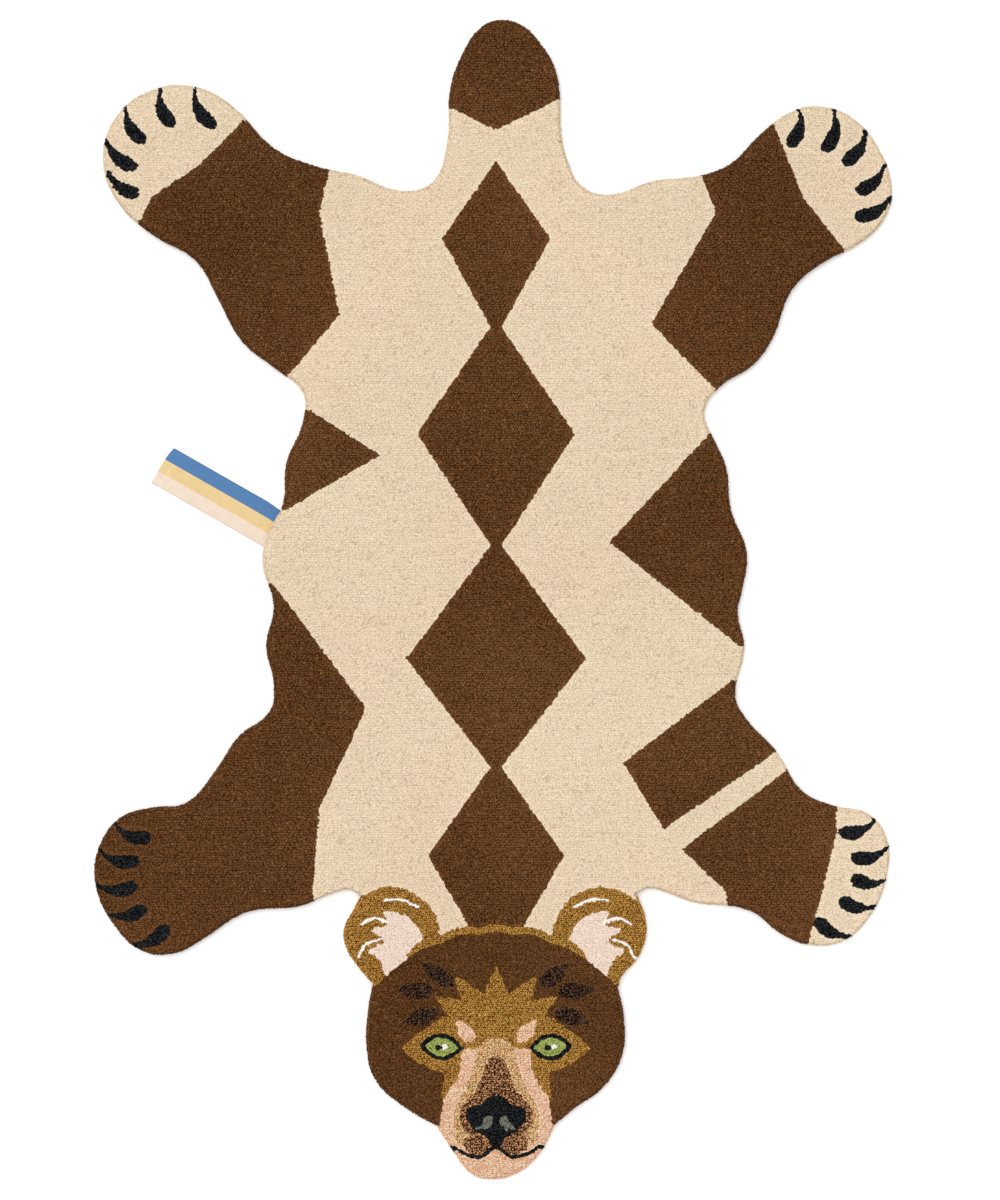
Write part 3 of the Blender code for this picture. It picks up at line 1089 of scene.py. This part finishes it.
def ribbonMaterial(group):
    made, shader = startMaterial("bandedRibbon", label)
    tree = made.node_tree
    add = partial(addNode, tree)
    uv = add("UVMap", uv_map="ribbon").outputs["UV"]
    parts = add("SeparateXYZ", {0: uv}).outputs
    bands = add("ValToRGB", {"Fac": maths(tree, "DIVIDE", parts["Y"], label["width"])})
    bands.color_ramp.interpolation = "CONSTANT"
    stops = bands.color_ramp.elements
    stops[1].position = label["bands"][0]
    stops.new(label["bands"][1])
    for stop, band in zip(stops, ("blue", "mustard", "peach")):
        stop.color = (*label[band], 1.0)
    # a thin pale line across the ribbon a little way from the fold, and faint wear
    crease = maths(tree, "COMPARE", parts["X"], creasePlace(), label["creaseWide"] / 2)
    worn = add("TexNoise", {"Vector": uv, "Scale": label["wearSize"]})
    fade = add("MapRange", {"Value": worn.outputs["Fac"], "To Min": 1 - label["wear"],
                            "To Max": 1 + label["wear"]})
    paled = maths(tree, "MULTIPLY_ADD", crease, label["creasePale"], fade.outputs["Result"])
    faded = add("VectorMath", {0: bands.outputs["Color"], "Scale": paled},
                operation="SCALE").outputs[0]
    saturation, brightness = label["weftShade"]
    weft = add("HueSaturation", {"Color": faded, "Saturation": saturation, "Value": brightness})
    cloth = add("Group", {
        "Vector": uv, "Threads": 1.0 / label["thread"], "Relief": label["relief"],
        "Warp": faded, "Weft": weft.outputs["Color"],
    }, node_tree=group)
    fill(shader, {"Sheen Weight": label["sheen"], "Base Color": cloth.outputs["Color"],
                  "Normal": cloth.outputs["Normal"]})
    return made


def ribbonPath():
    # the middle line of the folded strip seen from its edge: along, up
    low = label["thick"] / 2
    high = label["rise"] - low
    bend = (high - low) / 2
    reach = label["tuck"] + label["out"] - bend - low
    steps = label["stepsAlong"]
    path = [(reach * i / steps, low) for i in range(steps)]
    for i in range(label["foldSteps"] + 1):
        a = math.pi * i / label["foldSteps"] - math.pi / 2
        path.append((reach + bend * math.cos(a), low + bend + bend * math.sin(a)))
    for i in range(steps - 1, -1, -1):
        along = reach * i / steps
        sag = label["sag"] * math.sin(math.pi * along / reach) ** 2
        path.append((along, high - sag))
    return path


def makeLabel():
    path = ribbonPath()
    bm = bmesh.new()
    reach = bm.verts.layers.float.new("reach")  # how far along the flat ribbon a point lies
    line = [bm.verts.new((along, 0.0, up)) for along, up in path]
    edges = [bm.edges.new(pair) for pair in zip(line, line[1:])]
    for before, here in zip(line, line[1:]):
        here[reach] = before[reach] + (here.co - before.co).length
    for _ in range(label["stepsAcross"]):
        grown = bmesh.ops.extrude_edge_only(bm, edges=edges)["geom"]
        fresh = [g for g in grown if isinstance(g, bmesh.types.BMVert)]
        step = -label["width"] / label["stepsAcross"]
        bmesh.ops.translate(bm, verts=fresh, vec=(0.0, step, 0.0))
        edges = [g for g in grown if isinstance(g, bmesh.types.BMEdge)
                 and all(v in fresh for v in g.verts)]
    bm.verts.index_update()
    total = len(bm.verts)
    for parts in (bm.edges, bm.faces):  # extruding leaves these in no fixed order
        parts.sort(key=lambda p: total * max(v.index for v in p.verts)
                   + min(v.index for v in p.verts))
    bmesh.ops.translate(bm, verts=bm.verts, vec=(0.0, label["width"] / 2, 0.0))
    layer = bm.loops.layers.uv.new("ribbon")
    for f in bm.faces:
        for loop in f.loops:
            loop[layer].uv = (loop.vert[reach], loop.vert.co.y + label["width"] / 2)
    for vert in bm.verts:
        blue = max(-2 * vert.co.y / label["width"], 0.0)
        near = math.exp(-((vert.co.x - label["tuck"]) / label["pinchReach"]) ** 2)
        vert.co.y += label["pinch"] * blue * near
        vert.co.x *= 1 - label["bow"] * blue ** 2
    bmesh.ops.recalc_face_normals(bm, faces=bm.faces)
    mesh = bpy.data.meshes.new("ribbonLabel")
    bm.to_mesh(mesh)
    bm.free()
    made = bpy.data.objects.new("ribbonLabel", mesh)
    bpy.context.scene.collection.objects.link(made)
    return made


def finishLabel(made, group):
    thicken = made.modifiers.new("thickness", "SOLIDIFY")
    thicken.thickness = label["thick"]
    thicken.offset = 0.0
    thicken.use_even_offset = True
    soften = made.modifiers.new("soft", "SUBSURF")
    soften.levels = 1
    soften.render_levels = 1
    flat = made.evaluated_get(bpy.context.evaluated_depsgraph_get())
    mesh = bpy.data.meshes.new_from_object(flat)
    made.modifiers.clear()
    turn = Euler((0.0, 0.0, math.radians(label["angle"]))).to_matrix().to_4x4()
    start = Vector((label["root"][0], label["root"][1], 0.0))
    start -= turn @ Vector((label["tuck"], 0.0, 0.0))
    mesh.transform(turn)
    lowest = min(v.co.z for v in mesh.vertices)
    for vert in mesh.vertices:
        vert.co += start
        vert.co.z -= min(lowest, 0.0)
    mesh.shade_smooth()
    made.data = mesh
    mesh.materials.append(ribbonMaterial(group))


ribbon = makeLabel()
finishLabel(ribbon, weave)
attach(ribbon, "root")
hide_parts("label")
print("bear rug: label made")
